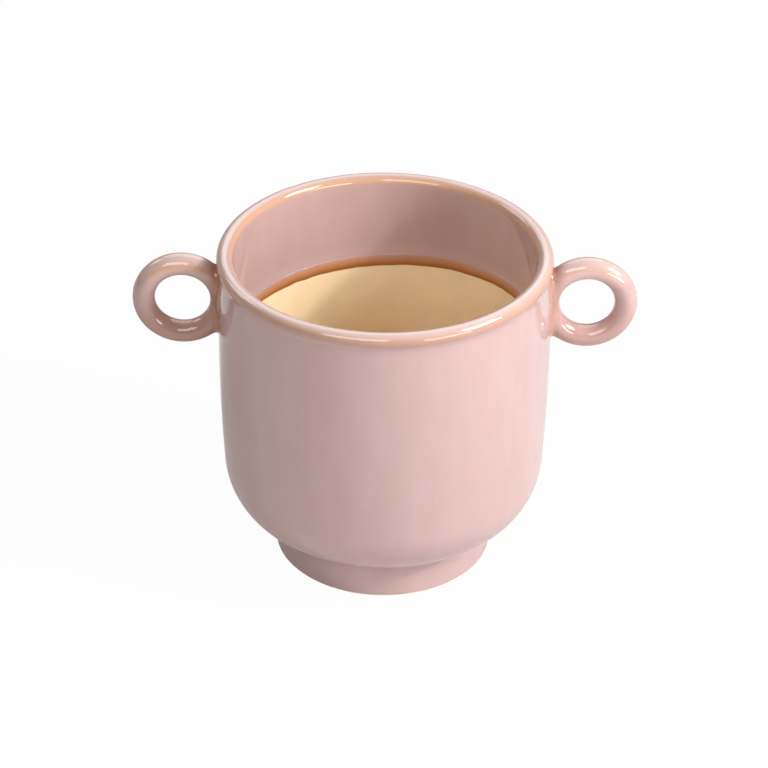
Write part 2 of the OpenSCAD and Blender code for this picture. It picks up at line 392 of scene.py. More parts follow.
def turned_form_tree():
    """Turns a section round Z, as on a potter's wheel, with throwing lines and a sloping line."""
    tree, given = new_tree(
        "Turned Form",
        ("Section", "Geometry"),
        ("Segments", "Int"),
        ("Throwing Line Height", "Float", "DISTANCE"),
        ("Throwing Line Spacing", "Float", "DISTANCE"),
        ("Line Tilt", "Float", "ANGLE"),
        ("Line Turn", "Float", "ANGLE"),
        ("Line Wander", "Float", "DISTANCE"),
        ("Material", "Material"),
    )
    section = given["Section"]
    size = add(tree, "GeometryNodeAttributeDomainSize", {"Geometry": section}, component="MESH")
    columns = add(tree, MATH, given["Segments"], 1.0, operation="ADD")
    grid, column, row = numbered_grid(tree, columns, size.outputs["Point Count"])
    turn, *circle = turn_of(tree, column, given["Segments"])

    # Each row of the grid is a point of the section
    found = {"place": add(tree, "GeometryNodeInputPosition")}
    for mark in MARKS:
        found[mark] = add(
            tree, "GeometryNodeInputNamedAttribute", {"Name": mark}, data_type="FLOAT"
        ).outputs["Attribute"]
    for name, value in found.items():
        found[name] = add(
            tree,
            "GeometryNodeSampleIndex",
            {"Geometry": section, "Value": value, "Index": row},
            data_type="FLOAT_VECTOR" if name == "place" else "FLOAT",
        )
    r, _, z = add(tree, "ShaderNodeSeparateXYZ", found["place"]).outputs

    # Throwing lines run round the pot, so the noise hardly changes along them. They are counted
    # by height on the wall and by radius on the floor, where the height stays the same
    levels = [
        add(tree, MATH, way, given["Throwing Line Spacing"], operation="DIVIDE") for way in (z, r)
    ]
    level = add(tree, MATH, *levels, operation="ADD")
    ridges = noise_round(tree, circle, level, radius=0.35)
    for factor in (given["Throwing Line Height"], found["thrown"]):
        ridges = add(tree, MATH, ridges, factor, operation="MULTIPLY")
    radius = add(tree, MATH, r, ridges, operation="ADD")

    # The line slopes one way, and wanders a little where the glaze ran
    slope = add(tree, MATH, given["Line Tilt"], operation="TANGENT")
    lean = add(tree, MATH, turn, given["Line Turn"], operation="SUBTRACT")
    lean = add(tree, MATH, lean, operation="COSINE")
    for factor in (slope, r):
        lean = add(tree, MATH, lean, factor, operation="MULTIPLY")
    drift = noise_round(tree, circle, WANDER_SEED, radius=8.0)
    drift = add(tree, MATH, drift, given["Line Wander"], lean, operation="MULTIPLY_ADD")
    height = add(tree, MATH, drift, found["line_share"], z, operation="MULTIPLY_ADD")

    x, y = (add(tree, MATH, radius, part, operation="MULTIPLY") for part in circle)
    position = add(tree, VECTOR, x, y, height)
    stored = add(
        tree,
        "GeometryNodeStoreNamedAttribute",
        {"Geometry": grid, "Name": "over_edge", "Value": found["over_edge"]},
        data_type="FLOAT",
        domain="POINT",
    )
    return finish_tree(tree, stored, position, given["Material"])


def rolled_ring_tree():
    """A roll of clay bent round to a ring that stands in the XZ plane."""
    tree, given = new_tree(
        "Rolled Ring",
        ("Centre", "Vector", "TRANSLATION"),
        ("Ring Radius", "Float", "DISTANCE"),
        ("Roll Radius", "Float", "DISTANCE"),
        ("Hand Wobble", "Float", "DISTANCE"),
        ("Turns", "Int"),
        ("Steps", "Int"),
        ("Seed", "Float"),
        ("Material", "Material"),
    )
    columns, rows = (
        add(tree, MATH, given[name], 1.0, operation="ADD") for name in ("Turns", "Steps")
    )
    grid, column, row = numbered_grid(tree, columns, rows)
    _, round_cos, round_sin = turn_of(tree, column, given["Turns"])
    _, roll_cos, roll_sin = turn_of(tree, row, given["Steps"])

    # A roll made by hand is a little thicker here and thinner there
    roll = noise_round(
        tree, (round_cos, round_sin), given["Seed"], scale=1.2, detail=1.0, middle=1.0
    )
    roll = add(
        tree, MATH, roll, given["Hand Wobble"], given["Roll Radius"], operation="MULTIPLY_ADD"
    )
    reach = add(tree, MATH, roll, roll_cos, given["Ring Radius"], operation="MULTIPLY_ADD")
    x, y, z = (
        add(tree, MATH, distance, part, operation="MULTIPLY")
        for distance, part in ((reach, round_cos), (roll, roll_sin), (reach, round_sin))
    )
    ring = add(tree, VECTOR, x, y, z)
    position = add(tree, "ShaderNodeVectorMath", ring, given["Centre"], operation="ADD")
    return finish_tree(tree, grid, position, given["Material"])


def tree_named(name, build):
    return bpy.data.node_groups.get(name) or build()


# Meshes


def new_object(name, data):
    thing = bpy.data.objects.new(name, data)
    bpy.context.scene.collection.objects.link(thing)
    return thing


def finished_mesh(name, worker):
    """The plain mesh that an object's modifiers give. The object itself is removed."""
    bpy.context.view_layer.update()
    evaluated = worker.evaluated_get(bpy.context.evaluated_depsgraph_get())
    mesh = bpy.data.meshes.new_from_object(evaluated)
    mesh.name = name
    bpy.data.objects.remove(worker)
    return mesh


def node_mesh(name, source_mesh, tree, values):
    """Runs a node tree on a mesh, and gives its result with its faces outwards."""
    worker = new_object(name + "_maker", source_mesh)
    modifier = worker.modifiers.new(tree.name, "NODES")
    modifier.node_group = tree
    for item in tree.interface.items_tree:
        if item.in_out == "INPUT" and item.name in values:
            modifier[item.identifier] = values[item.name]
    mesh = finished_mesh(name, worker)
    face_outwards(mesh)
    return mesh


def face_outwards(mesh):
    form = bmesh.new()
    form.from_mesh(mesh)
    bmesh.ops.recalc_face_normals(form, faces=form.faces)
    form.to_mesh(mesh)
    form.free()


def store(mesh, name, values):
    attribute = mesh.attributes.get(name) or mesh.attributes.new(name, "FLOAT", "POINT")
    attribute.data.foreach_set("value", np.asarray(values).astype(np.float32))


def turned(name, points, material, segments=None, closed=True, **marks):
    """A piece turned from its section, whose points go once round its outline. Its marks say what
    the wheel and the glaze line do at each point."""
    pot, line = bpy.context.scene.planter_pot, bpy.context.scene.planter_line
    if closed:
        points = points + points[:1]
        marks = {key: np.append(values, values[0]) for key, values in marks.items()}
    section = bpy.data.meshes.new(name + "_section")
    section.from_pydata([(r, 0, z) for r, z in points], [], [])
    for key in MARKS:
        store(section, key, marks.get(key, np.zeros(len(points))))
    values = {
        "Segments": segments or pot.segments,
        "Throwing Line Height": pot.throwing_height,
        "Throwing Line Spacing": pot.throwing_spacing,
        "Line Tilt": line.tilt,
        "Line Turn": line.turn,
        "Line Wander": line.wander,
        "Material": material,
    }
    tree = tree_named("Turned Form", turned_form_tree)
    return new_object(name, node_mesh(name, section, tree, values))


def mark_glaze(piece, has_line=False):
    """Says at each point of a glazed piece how thin the glaze is over an edge, how much whiter it
    is on the rim's crown and the rings' tops, and how thick it has gathered in a hollow. The
    whiter share is partly painted light from above, and the gathered share is partly painted shade
    under the rings and on the left ring. All depend on place alone, so they meet from piece to
    piece."""
    form = PotForm()
    pot = form.pot
    places = np.zeros(3 * len(piece.data.vertices))
    piece.data.vertices.foreach_get("co", places)
    x, y, z = places.reshape(-1, 3).T
    r = np.hypot(x, y)

    def near(at_r, at_z, width):
        """1 at a place in the section, falling off over that width."""
        return np.exp(-(((r - at_r) ** 2 + (z - at_z) ** 2) / width**2))

    def near_lip(degrees, width):
        """The same for a place on the rim's bead, at an angle above the outward horizontal."""
        turn = math.radians(degrees)
        at_r = form.lip_x + form.lip_r * math.cos(turn)
        return near(at_r, form.lip_z + form.lip_r * math.sin(turn), width)

    # The rings stand off the side: glaze thins on their upper faces and runs to their undersides.
    # The darker undersides are partly painted shade
    side = r - form.side_r_at(np.clip(z, form.corner_z, form.lip_z))
    up = z - form.ring_z
    ring = smoothstep((side - 1 * MM) / (5 * MM)) * (np.abs(up) < 2 * form.ring_r)
    upper = ring * smoothstep((up - 8 * MM) / (8 * MM))
    under = ring * smoothstep((2 * MM - up) / (14 * MM))
    outward = np.hypot(np.abs(x) - form.ring_x, up) - form.ring_r
    shoulder = np.exp(-(((outward - 1.5 * MM) / (2 * MM)) ** 2))
    shoulder *= smoothstep((np.abs(y) - 2 * MM) / (2.5 * MM))
    from_root = np.maximum(np.hypot(outward, y) - form.roll_r, 0) + np.abs(side)
    # The right ring, on the lit side, shows both less than the left one: painted light on the
    # right ring, painted shade on the left
    side_light_thin_share, side_light_gathered_share = np.where(x > 0, 0.35, 0.75), np.where(x > 0, 0.6, 1)

    inner_edge, crown, outer_edge, outer_side = 148, 72, 22, -2
    thin = [
        near_lip(inner_edge, 1.5 * MM),
        0.5 * near_lip(outer_edge, 1.7 * MM),
        side_light_thin_share * upper * shoulder,
    ]
    # Whiter rim crown and ring tops: painted light from above, over a lighter glaze on the crown
    whitish_and_top_light = [0.55 * near_lip(crown, 2.6 * MM), 0.5 * upper]
    foot_x, foot_z, _ = form.foot_hollow()
    foot_root = foot_x - pot.foot_root_radius, foot_z + pot.foot_root_radius
    gathered = [
        side_light_gathered_share * 1.3 * np.exp(-((from_root / (4.5 * MM)) ** 2)) * (r > form.lip_x),
        # Toffee under the rings: partly glaze run down, partly painted shade
        side_light_gathered_share * (0.1 * ring + 0.5 * under),
        0.55 * near_lip(outer_side, 1.9 * MM),
        0.12 * near(form.neck_x - pot.neck_radius, form.neck_z + 1 * MM, 2.5 * MM),
        0.35 * near(*foot_root, 1.6 * MM),
    ]
    marks = {"thin_glaze": thin, "pale_glaze": whitish_and_top_light, "pooled_glaze": gathered}
    for name, shares in marks.items():
        store(piece.data, name, np.clip(np.max(shares, axis=0), 0, 1))
    if not has_line:
        store(piece.data, "over_edge", np.full(len(r), FAR_FROM_LINE))


def set_body(piece, slot, *nodes):
    """Says what a finished piece rides on and stands for. Its slot is not used."""
    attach(piece, BODY)
    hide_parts(*nodes)


# Materials

CLAY = "Fired cream stoneware, bare"
GLAZE = "Dipped pink stoneware glaze, glossy"


def empty_tree(owner):
    """The node tree of a material or a world, cleared."""
    owner.use_nodes = True
    owner.node_tree.nodes.clear()
    return owner.node_tree


def layered(tree, base, layers):
    """A colour with others laid over it in turn, each by its own factor."""
    # A Mix node's sockets for colours share their names with its others, and go by number
    below_in, above_in, colour_out = 6, 7, 2
    for factor, above in layers:
        inputs = {0: factor, below_in: base, above_in: above}
        base = add(tree, "ShaderNodeMix", inputs, data_type="RGBA").outputs[colour_out]
    return base


def finish_material(tree, sockets):
    """Ends a material with its surface."""
    shader = add(tree, "ShaderNodeBsdfPrincipled", sockets)
    add(tree, "ShaderNodeOutputMaterial", {"Surface": shader})


def opaque(tone):
    return (*tone, 1.0)


def glossy_pink_glaze():
    """Dipped stoneware glaze, fired glossy: milky pink, breaking to amber where an edge leaves it
    thin, and toffee brown where it has run together. Whiter on the rim's crown and the rings'
    tops, which is painted light from above over a lighter glaze, and toffee also under the rings
    and on the left ring as painted shade. The eye sees a smooth, wet-looking skin with very slight
    waves, soft cloudy patches a few millimetres wide and fine rings from the wheel."""
    finish = bpy.context.scene.planter_finish
    material = bpy.data.materials.new(GLAZE)
    tree = empty_tree(material)
    places = add(tree, "ShaderNodeTexCoord").outputs["Object"]
    # The whitish share stands partly for painted light from above on the crown and the rings' tops
    whitish_and_top_light, thin, pooled_and_shade, over_edge = (
        add(tree, "ShaderNodeAttribute", attribute_name=name).outputs["Fac"]
        for name in ("pale_glaze", "thin_glaze", "pooled_glaze", "over_edge")
    )

    # Faint runs about 9 mm wide and three times as high, where the dip lies thicker or thinner
    runs = add(tree, "ShaderNodeMapping", {"Vector": places, "Scale": (1.0, 1.0, 0.33)})
    clouds = add(
        tree, NOISE, {"Vector": runs, "Scale": 1 / (9 * MM), "Detail": 3.0, "Roughness": 0.55}
    )
    clouds = add(
        tree,
        RANGE,
        {"Value": clouds, "From Min": 0.35, "From Max": 0.7, "To Max": 0.45},
        interpolation_type="SMOOTHSTEP",
    )

    # The break over an edge is uneven, on a scale of 3 mm
    patches = add(tree, NOISE, {"Vector": places, "Scale": 1 / (3 * MM), "Detail": 2.0})
    patches = add(tree, MATH, patches, 0.9, 0.5, operation="MULTIPLY_ADD")
    thin = add(tree, MATH, thin, patches, operation="MULTIPLY", use_clamp=True)
    # The pooled share lays toffee partly as painted shade, under the rings and over the left ring
    pooled_and_shade = add(tree, MATH, pooled_and_shade, 0.72, operation="MULTIPLY", use_clamp=True)

    # Up from the line where the glaze ends: brown, then a milky band that fades to pink
    band_top = 14 * MM
    height = add(tree, RANGE, {"Value": over_edge, "From Max": band_top})
    band = add(tree, "ShaderNodeValToRGB", {"Fac": height})
    stops = [
        # Umber at the lowest edge: partly painted shade under the bead's round underside
        (0.0, finish.umber),
        (0.04, finish.toffee),
        (0.11, finish.toffee),
        (0.22, finish.caramel),
        (0.36, finish.rose),
        (0.45, finish.milk),
        (0.65, finish.milk),
        (1.0, finish.pink),
    ]
    elements = band.color_ramp.elements
    while len(elements) < len(stops):
        elements.new(0.5)
    for element, (at, tone) in zip(elements, stops):
        element.position = at
        element.color = opaque(tone)
    within = add(
        tree,
        RANGE,
        {"Value": over_edge, "From Min": 8 * MM, "From Max": band_top, "To Min": 1, "To Max": 0},
    )

    layers = [
        (clouds, opaque(finish.milk)),
        (whitish_and_top_light, opaque(finish.whitish_and_top_light)),
        (thin, opaque(finish.amber)),
        (pooled_and_shade, opaque(finish.toffee)),
        (within, band),
    ]
    base = layered(tree, opaque(finish.pink), layers)

    # The clouds are slightly duller than the rest
    dull = add(tree, RANGE, {"Value": clouds, "From Max": 0.3, "To Min": 0.05, "To Max": 0.08})

    # Rings from the wheel under the glaze, about 4 mm apart, and waves of the molten skin
    wheel = (4.0, 4.0, 1 / (4 * MM))
    wheel = add(tree, "ShaderNodeVectorMath", places, wheel, operation="MULTIPLY")
    rings = add(tree, NOISE, {"Vector": wheel, "Scale": 1.0, "Detail": 2.0})
    waves = add(tree, NOISE, {"Vector": places, "Scale": 1 / (5 * MM), "Detail": 1.0})
    skin = add(tree, MATH, waves, 0.35, rings, operation="MULTIPLY_ADD")
    bump = add(tree, "ShaderNodeBump", {"Height": skin, "Strength": 1.0, "Distance": 0.016 * MM})
    finish_material(tree, {"Base Color": base, "Roughness": dull, "IOR": 1.58, "Normal": bump})
    return material


def bare_cream_clay():
    """Fired cream stoneware, bare: matte, with fine grit, soft clouds and slightly darker iron
    specks."""
    finish = bpy.context.scene.planter_finish
    material = bpy.data.materials.new(CLAY)
    tree = empty_tree(material)
    places = add(tree, "ShaderNodeTexCoord").outputs["Object"]
    clouds = add(
        tree, NOISE, {"Vector": places, "Scale": 1 / (14 * MM), "Detail": 4.0, "Roughness": 0.6}
    )
    clouds = add(tree, RANGE, {"Value": clouds, "From Min": 0.35, "From Max": 0.7, "To Max": 0.7})
    # Specks of iron, drawn about 0.8 mm wide so that they show
    specks = add(tree, NOISE, {"Vector": places, "Scale": 1 / (1.6 * MM), "Detail": 1.0})
    specks = add(tree, RANGE, {"Value": specks, "From Min": 0.7, "From Max": 0.78, "To Max": 0.1})
    darker = [c * 0.9 for c in finish.clay]
    layers = [(clouds, opaque(darker)), (specks, opaque(finish.toffee))]
    base = layered(tree, opaque(finish.clay), layers)
    # Grit of 0.3 mm, drawn as 0.7 mm
    grit = add(tree, NOISE, {"Vector": places, "Scale": 1 / (0.7 * MM), "Detail": 3.0})
    bump = add(tree, "ShaderNodeBump", {"Height": grit, "Strength": 0.6, "Distance": 0.06 * MM})
    matte = {"Roughness": 0.82, "IOR": 1.45, "Specular IOR Level": 0.3}
    finish_material(tree, {"Base Color": base, "Normal": bump, **matte})
    return material


def clay_material():
    return bpy.data.materials.get(CLAY) or bare_cream_clay()


def glaze_material():
    return bpy.data.materials.get(GLAZE) or glossy_pink_glaze()


# Pieces


def make_clay_pot():
    """The clay pot: side, floor and rolled rim, one glaze thickness inside the outer face."""
    form = PotForm()
    pot = form.pot
    inset = pot.glaze_thickness
    inner_x = form.bore_r - pot.inner_corner_radius + inset
    inner_z = form.floor_z + pot.inner_corner_radius
    under_z = pot.foot_height + inset
    corner_steps, rim_steps, inner_steps = 18, 28, 44
    # The bore and the floor carry throwing lines, so their points are close
    under_gap, bore_gap, floor_gap = 4 * MM, 0.8 * MM, 0.9 * MM
    points = spaced((0.0, under_z), (form.corner_x, under_z), under_gap)
    points += form.corner_arc(inset, form.corner_x, corner_steps)[1:]
    points += form.side(inset, SIDE_STEPS)
    points += form.rim(inset, rim_steps)
    points += spaced((form.bore_clay_r, form.lip_z), (form.bore_clay_r, inner_z), bore_gap)[1:]
    points += arc(inner_x, inner_z, pot.inner_corner_radius, 0, -math.pi / 2, inner_steps)[1:]
    points += spaced((inner_x, form.floor_z), (0.0, form.floor_z), floor_gap)[1:]
    r, z = np.array(points).T
    inside = (r < form.bore_clay_r + 0.01 * MM) & (z > form.floor_z - 0.01 * MM)
    thrown = inside * smoothstep((form.lip_z - z) / (4 * MM)) * smoothstep(r / (6 * MM))
    piece = turned("clay_pot", points, clay_material(), closed=False, thrown=thrown)
    set_body(piece, "clay", "pot_body")


def make_clay_foot():
    """The clay ring under the pot, bare on its inside and on its standing face."""
    form = PotForm()
    pot = form.pot
    inset = pot.glaze_thickness
    outer = form.foot_r - inset
    inner = form.foot_r - pot.foot_thickness
    edge = pot.foot_edge_radius
    top, under_z = form.corner_height(outer, inset), pot.foot_height + inset
    steps, gap = 8, 2 * MM
    points = arc(inner + edge, edge, edge, math.pi, 1.5 * math.pi, steps)
    points += arc(outer - edge, edge, edge, 1.5 * math.pi, 2 * math.pi, steps)
    points += spaced((outer, edge), (outer, top), gap)[1:]
    points += form.corner_arc(inset, outer, steps)[:1]
    points += [(form.corner_x, under_z), (inner, under_z)]
    points += spaced((inner, under_z), (inner, edge), gap)[1:-1]
    piece = turned("clay_foot", points, clay_material(), FOOT_SEGMENTS)
    set_body(piece, "clay", "foot_ring")


def make_glaze_coat():
    """The coat of glaze: up the foot and the side, over the rim and down to the glaze line."""
    form, line = PotForm(), bpy.context.scene.planter_line
    pot = form.pot
    thickness = pot.glaze_thickness
    back = thickness * COAT_SHARE
    foot_r, foot_z = form.foot_r, pot.dry_foot_height + thickness
    edge_z = pot.height - line.depth
    # The coat ends inside the bead
    under = edge_z + 0.4 * line.bead_height
    slant = 0.2 * MM
    edge_steps, corner_steps, steps = 5, 26, 44
    foot_gap, bore_gap = 2.5 * MM, 1.6 * MM
    # The back is out of sight, and has fewer points
    back_corner_steps, back_steps, back_gap = 12, 20, 5 * MM

    outside = arc(foot_r - thickness, foot_z, thickness, -math.pi / 2, 0, edge_steps)
    outside += spaced((foot_r, foot_z), (foot_r, form.corner_height(foot_r)), foot_gap)[1:]
    outside += form.corner_arc(0, foot_r, corner_steps)[1:]
    outside += form.side(0, steps) + form.rim(0, steps)
    outside += spaced((form.bore_r, form.lip_z), (form.bore_r, under), bore_gap)[1:]
    inside = [(foot_r - back, foot_z)]
    inside += form.corner_arc(back, foot_r - back, back_corner_steps)
    inside += form.side(back, back_steps) + form.rim(back, back_steps)[:-1]
    bore = form.bore_r + back
    inside += reversed(spaced((bore, under), (bore, form.lip_z), back_gap))
    inside += [(bore, under - slant)]
    points = outside + inside[::-1]
    r, z = np.array(points).T
    inner = (r < form.bore_r + thickness) & (z > under - line.bead_height)
    share = inner * smoothstep((form.lip_z - z) / (form.lip_z - under))
    over_edge = np.where(inner & (z < form.lip_z), z - edge_z, FAR_FROM_LINE)
    piece = turned("glaze_coat", points, glaze_material(), line_share=share, over_edge=over_edge)
    mark_glaze(piece, has_line=True)
    set_body(piece, "glaze", "pot_glaze")


def make_glaze_bead():
    """The roll in which the glaze gathered along its line: round below, smooth into the coat."""
    form, line = PotForm(), bpy.context.scene.planter_line
    pot = form.pot
    edge_z = pot.height - line.depth
    coat = pot.glaze_thickness
    # Height over the edge as a share of the bead, and how far it stands off the clay there
    shape = [
        (0.0, 0.0), (0.0, 0.35), (0.03, 0.62), (0.09, 0.84), (0.17, 0.96), (0.27, 1.0),
        (0.38, 0.985), (0.5, 0.93), (0.62, 0.84),
    ]
    off_clay = [(up, line.bead_proud * proud) for up, proud in shape]
    # Above, it eases into the coat, and its back lies in the coat and on the clay
    last_up, last_off = off_clay[-1]
    ease_steps, ease_height = 8, 0.6
    for i in range(1, ease_steps + 1):
        t = i / ease_steps
        eased = last_off + (coat - last_off) * smoothstep(t)
        off_clay.append((last_up + ease_height * t, eased))
    off_clay += [(1.2, 0.5 * coat), (0.5, 0.02 * MM)]
    points = [(form.bore_clay_r - off, edge_z + line.bead_height * up) for up, off in off_clay]
    share, over_edge = np.ones(len(points)), [z - edge_z for _, z in points]
    piece = turned("glaze_bead", points, glaze_material(), line_share=share, over_edge=over_edge)
    mark_glaze(piece, has_line=True)
    set_body(piece, "pooled_glaze", "glaze_roll")


def make_foot_root():
    """Glaze in the corner between the pot and its foot, hollow and smooth into both."""
    form = PotForm()
    x, z, turn = form.foot_hollow()
    steps, sink = 14, 0.15 * MM
    face = arc(x, z, form.pot.foot_root_radius, math.pi, turn, steps)
    top = form.corner_height(form.foot_r)
    points = face + [
        (face[-1][0] - sink, face[-1][1] + sink),
        (form.foot_r - sink, top + sink),
        (form.foot_r - sink, face[0][1]),
    ]
    piece = turned("foot_root_glaze", points, glaze_material())
    piece.data.set_sharp_from_angle(angle=math.radians(50))
    mark_glaze(piece)
    set_body(piece, "pooled_glaze", "foot_joint")


def ring_mesh(name, side, inset, seed):
    """A finger ring's whole outline at an inset from its glaze."""
    form = PotForm()
    values = {
        "Centre": (side * form.ring_x, 0.0, form.ring_z),
        "Ring Radius": form.ring_r,
        "Roll Radius": form.roll_r - inset,
        "Hand Wobble": 0.2 * MM,
        "Turns": 120,
        "Steps": 56,
        "Seed": seed,
        "Material": glaze_material(),
    }
    empty = bpy.data.meshes.new(name + "_start")
    return node_mesh(name, empty, tree_named("Rolled Ring", rolled_ring_tree), values)


def wall_cutter():
    """The filled clay pot, which cuts the rings' backs to fit it."""
    form = PotForm()
    inset = form.pot.glaze_thickness
    points = [(0.0, form.corner_z)] + form.side(inset, SIDE_STEPS)
    points += [(float(form.side_r_at(form.lip_z)) - inset, form.lip_z), (0.0, form.lip_z)]
    return turned("wall_cutter", points, clay_material(), closed=False)


def make_finger_rings():
    """The glaze on each finger ring, cut where the ring is pressed on the clay pot."""
    back = bpy.context.scene.planter_pot.glaze_thickness * COAT_SHARE
    cutter = wall_cutter()
    for name, side, seed in (("right", 1, 2.3), ("left", -1, 8.1)):
        glaze_name = "finger_ring_glaze_" + name
        outer, inner = (ring_mesh(glaze_name, side, inset, seed) for inset in (0, back))
        form = bmesh.new()
        form.from_mesh(inner)
        bmesh.ops.reverse_faces(form, faces=form.faces)
        form.from_mesh(outer)
        form.to_mesh(outer)
        form.free()
        worker = new_object("finger_ring_maker", outer)
        cut = worker.modifiers.new("Cut at the wall", "BOOLEAN")
        cut.operation = "DIFFERENCE"
        cut.solver = "EXACT"
        cut.object = cutter
        mesh = finished_mesh(glaze_name, worker)
        mesh.materials.clear()
        mesh.materials.append(glaze_material())
        mesh.shade_smooth()
        mesh.set_sharp_from_angle(angle=math.radians(40))
        piece = new_object(glaze_name, mesh)
        mark_glaze(piece)
        set_body(piece, "glaze", "ring_glaze_" + name)
        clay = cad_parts["finger_ring_" + name]
        clay.data.materials.clear()
        clay.data.materials.append(clay_material())
    bpy.data.objects.remove(cutter)


class RingRoot:
    """The wall and the right ring's roll as faces, and the curve on which they meet."""

    def __init__(self, form):
        self.form = form
        self.middle = np.array([form.ring_x, 0, form.ring_z])
        side_steps, rim_steps = 200, 60
        section = form.side(0, side_steps) + form.rim(0, rim_steps)
        wall = [(z, r) for r, z in section if z <= form.lip_z and r > form.lip_x]
        self.wall_z, self.wall_r = np.array(sorted(wall)).T

    def on_wall(self, y, z):
        r = np.interp(z, self.wall_z, self.wall_r)
        return np.stack([np.sqrt(r**2 - y**2), y, z], axis=1)

    def wall_normal(self, p):
        step = 0.05 * MM
        slope = (
            np.interp(p[:, 2] + step, self.wall_z, self.wall_r)
            - np.interp(p[:, 2] - step, self.wall_z, self.wall_r)
        ) / (2 * step)
        flat = np.hypot(p[:, 0], p[:, 1])
        return unit(np.stack([p[:, 0] / flat, p[:, 1] / flat, -slope], axis=1))

    def in_roll(self, p):
        """The nearest places on the line along the roll's middle."""
        return self.middle + self.form.ring_r * unit((p - self.middle) * [1, 0, 1])

    def ring_normal(self, p):
        return unit(p - self.in_roll(p))

    def on_ring(self, p):
        return self.in_roll(p) + self.form.roll_r * self.ring_normal(p)

    def curve(self, stations):
        """Points of the root, found along rays over the wall from the middle of the back."""
        form = self.form
        turns = np.linspace(0, math.tau, stations, endpoint=False)
        depth = form.ring_x - float(form.side_r_at(form.ring_z))
        half_high = math.sqrt((form.ring_r + form.roll_r) ** 2 - depth**2)
        ray_y, ray_z = form.roll_r * np.cos(turns), half_high * np.sin(turns)
        # Shares of a ray, inside and outside the ring, that close in on the root by halves
        near, far = np.full(stations, 0.5), np.full(stations, 1.5)
        for _ in range(HALVINGS):
            half = (near + far) / 2
            p = self.on_wall(ray_y * half, form.ring_z + ray_z * half)
            inside = np.linalg.norm(p - self.in_roll(p), axis=1) < form.roll_r
            near, far = np.where(inside, half, near), np.where(inside, far, half)
        return self.on_wall(ray_y * near, form.ring_z + ray_z * near)


def unit(v):
    return v / np.linalg.norm(v, axis=1, keepdims=True)


def make_ring_roots():
    """Slip and glaze round each ring's root, in a hollow that leaves the wall and the ring
    smoothly."""
    form = PotForm()
    width = bpy.context.scene.planter_rings.root_width
    stations, steps = 144, 18
    root = RingRoot(form)
    p = root.curve(stations)
    wall_n, ring_n = root.wall_normal(p), root.ring_normal(p)
    along = unit(np.cross(ring_n, wall_n))
    over_wall, over_ring = np.cross(wall_n, along), np.cross(along, ring_n)
    low = p + width * over_wall
    low = root.on_wall(low[:, 1], np.minimum(low[:, 2], form.lip_z))
    high = root.on_ring(p + width * over_ring)

    def towards(start, normal):
        """Unit directions from start to the root, kept in the face there."""
        out = p - start
        return unit(out - np.sum(out * normal, axis=1, keepdims=True) * normal)

    low_n, high_n = root.wall_normal(low), root.ring_normal(high)
    pull = 0.6 * width
    controls = [low, low + pull * towards(low, low_n), high + pull * towards(high, high_n), high]
    rows = []
    for t in (1 - np.cos(np.linspace(0, math.pi, steps + 1))) / 2:
        shares = [(1 - t) ** 3, 3 * t * (1 - t) ** 2, 3 * t * t * (1 - t), t**3]
        rows.append(sum(share * c for share, c in zip(shares, controls)))
    sink = 0.25 * MM
    middle = root.on_ring((p + high) / 2)
    rows.append(high - sink * high_n)
    rows.append(middle - sink * root.ring_normal(middle))
    rows.append(p - sink * unit(wall_n + ring_n))
    rows.append(low - sink * low_n)
    count = len(rows)
    places = np.stack(rows, axis=1).reshape(-1, 3)
    faces = []
    for k in range(stations):
        here, there = k * count, (k + 1) % stations * count
        for i in range(count):
            j = (i + 1) % count
            faces.append((here + i, here + j, there + j, there + i))
    for name, side in (("right", 1), ("left", -1)):
        mesh = bpy.data.meshes.new("ring_root_glaze_" + name)
        mesh.from_pydata((places * [side, 1, 1]).tolist(), [], faces)
        mesh.shade_smooth()
        mesh.materials.append(glaze_material())
        face_outwards(mesh)
        sharp = {0, steps}
        for edge in mesh.edges:
            a, b = (v % count for v in edge.vertices)
            edge.use_edge_sharp = a == b and a in sharp
        piece = new_object("ring_root_glaze_" + name, mesh)
        mark_glaze(piece)
        set_body(piece, "pooled_glaze", "ring_joint_" + name)


# Studio

# Azimuth from +X and elevation in degrees, distance, width and height in metres, and power
LAMPS = {
    "key_lamp": (-18.5, 33, 1.6, 0.08, 0.08, "key_power"),
    "main_softbox": (-20, 35, 1.5, 0.6, 0.6, "soft_power"),
    "low_softbox": (-50, 10, 1.5, 0.8, 0.3, "low_power"),
    "top_softbox": (92, 50, 1.5, 1.6, 1.2, "top_power"),
    "left_softbox": (-110, 35, 1.5, 1.0, 0.6, "left_power"),
    "rear_softbox": (150, 35, 1.5, 0.6, 0.6, "back_power"),
}
LAMP_AIM = Vector((0, 0, 90 * MM))
AIM_ASIDE = -0.03 * MM
FLOOR_WIDTH = 6.0
FLOOR_GAP = 0.05 * MM
WHITE = (1, 1, 1, 1)


def make_camera():
    studio = bpy.context.scene.planter_studio
    e, roll = studio.elevation, studio.roll
    turn = Matrix.Rotation(studio.azimuth, 3, "Z")
    target = Vector((AIM_ASIDE, 0, studio.aim_height))
    forward = Vector((0, math.cos(e), -math.sin(e)))
    upward = Vector((0, math.sin(e), math.cos(e)))
    sideways = Vector((1, 0, 0))
    up = upward * math.cos(roll) + sideways * math.sin(roll)
    right = sideways * math.cos(roll) - upward * math.sin(roll)
    data = bpy.data.cameras.new("camera")
    data.lens = studio.lens
    data.clip_end = 50
    camera = new_object("camera", data)
    axes = Matrix((turn @ right, turn @ up, turn @ -forward)).transposed().to_4x4()
    camera.matrix_world = Matrix.Translation(turn @ (target - forward * studio.distance)) @ axes
    bpy.context.scene.camera = camera


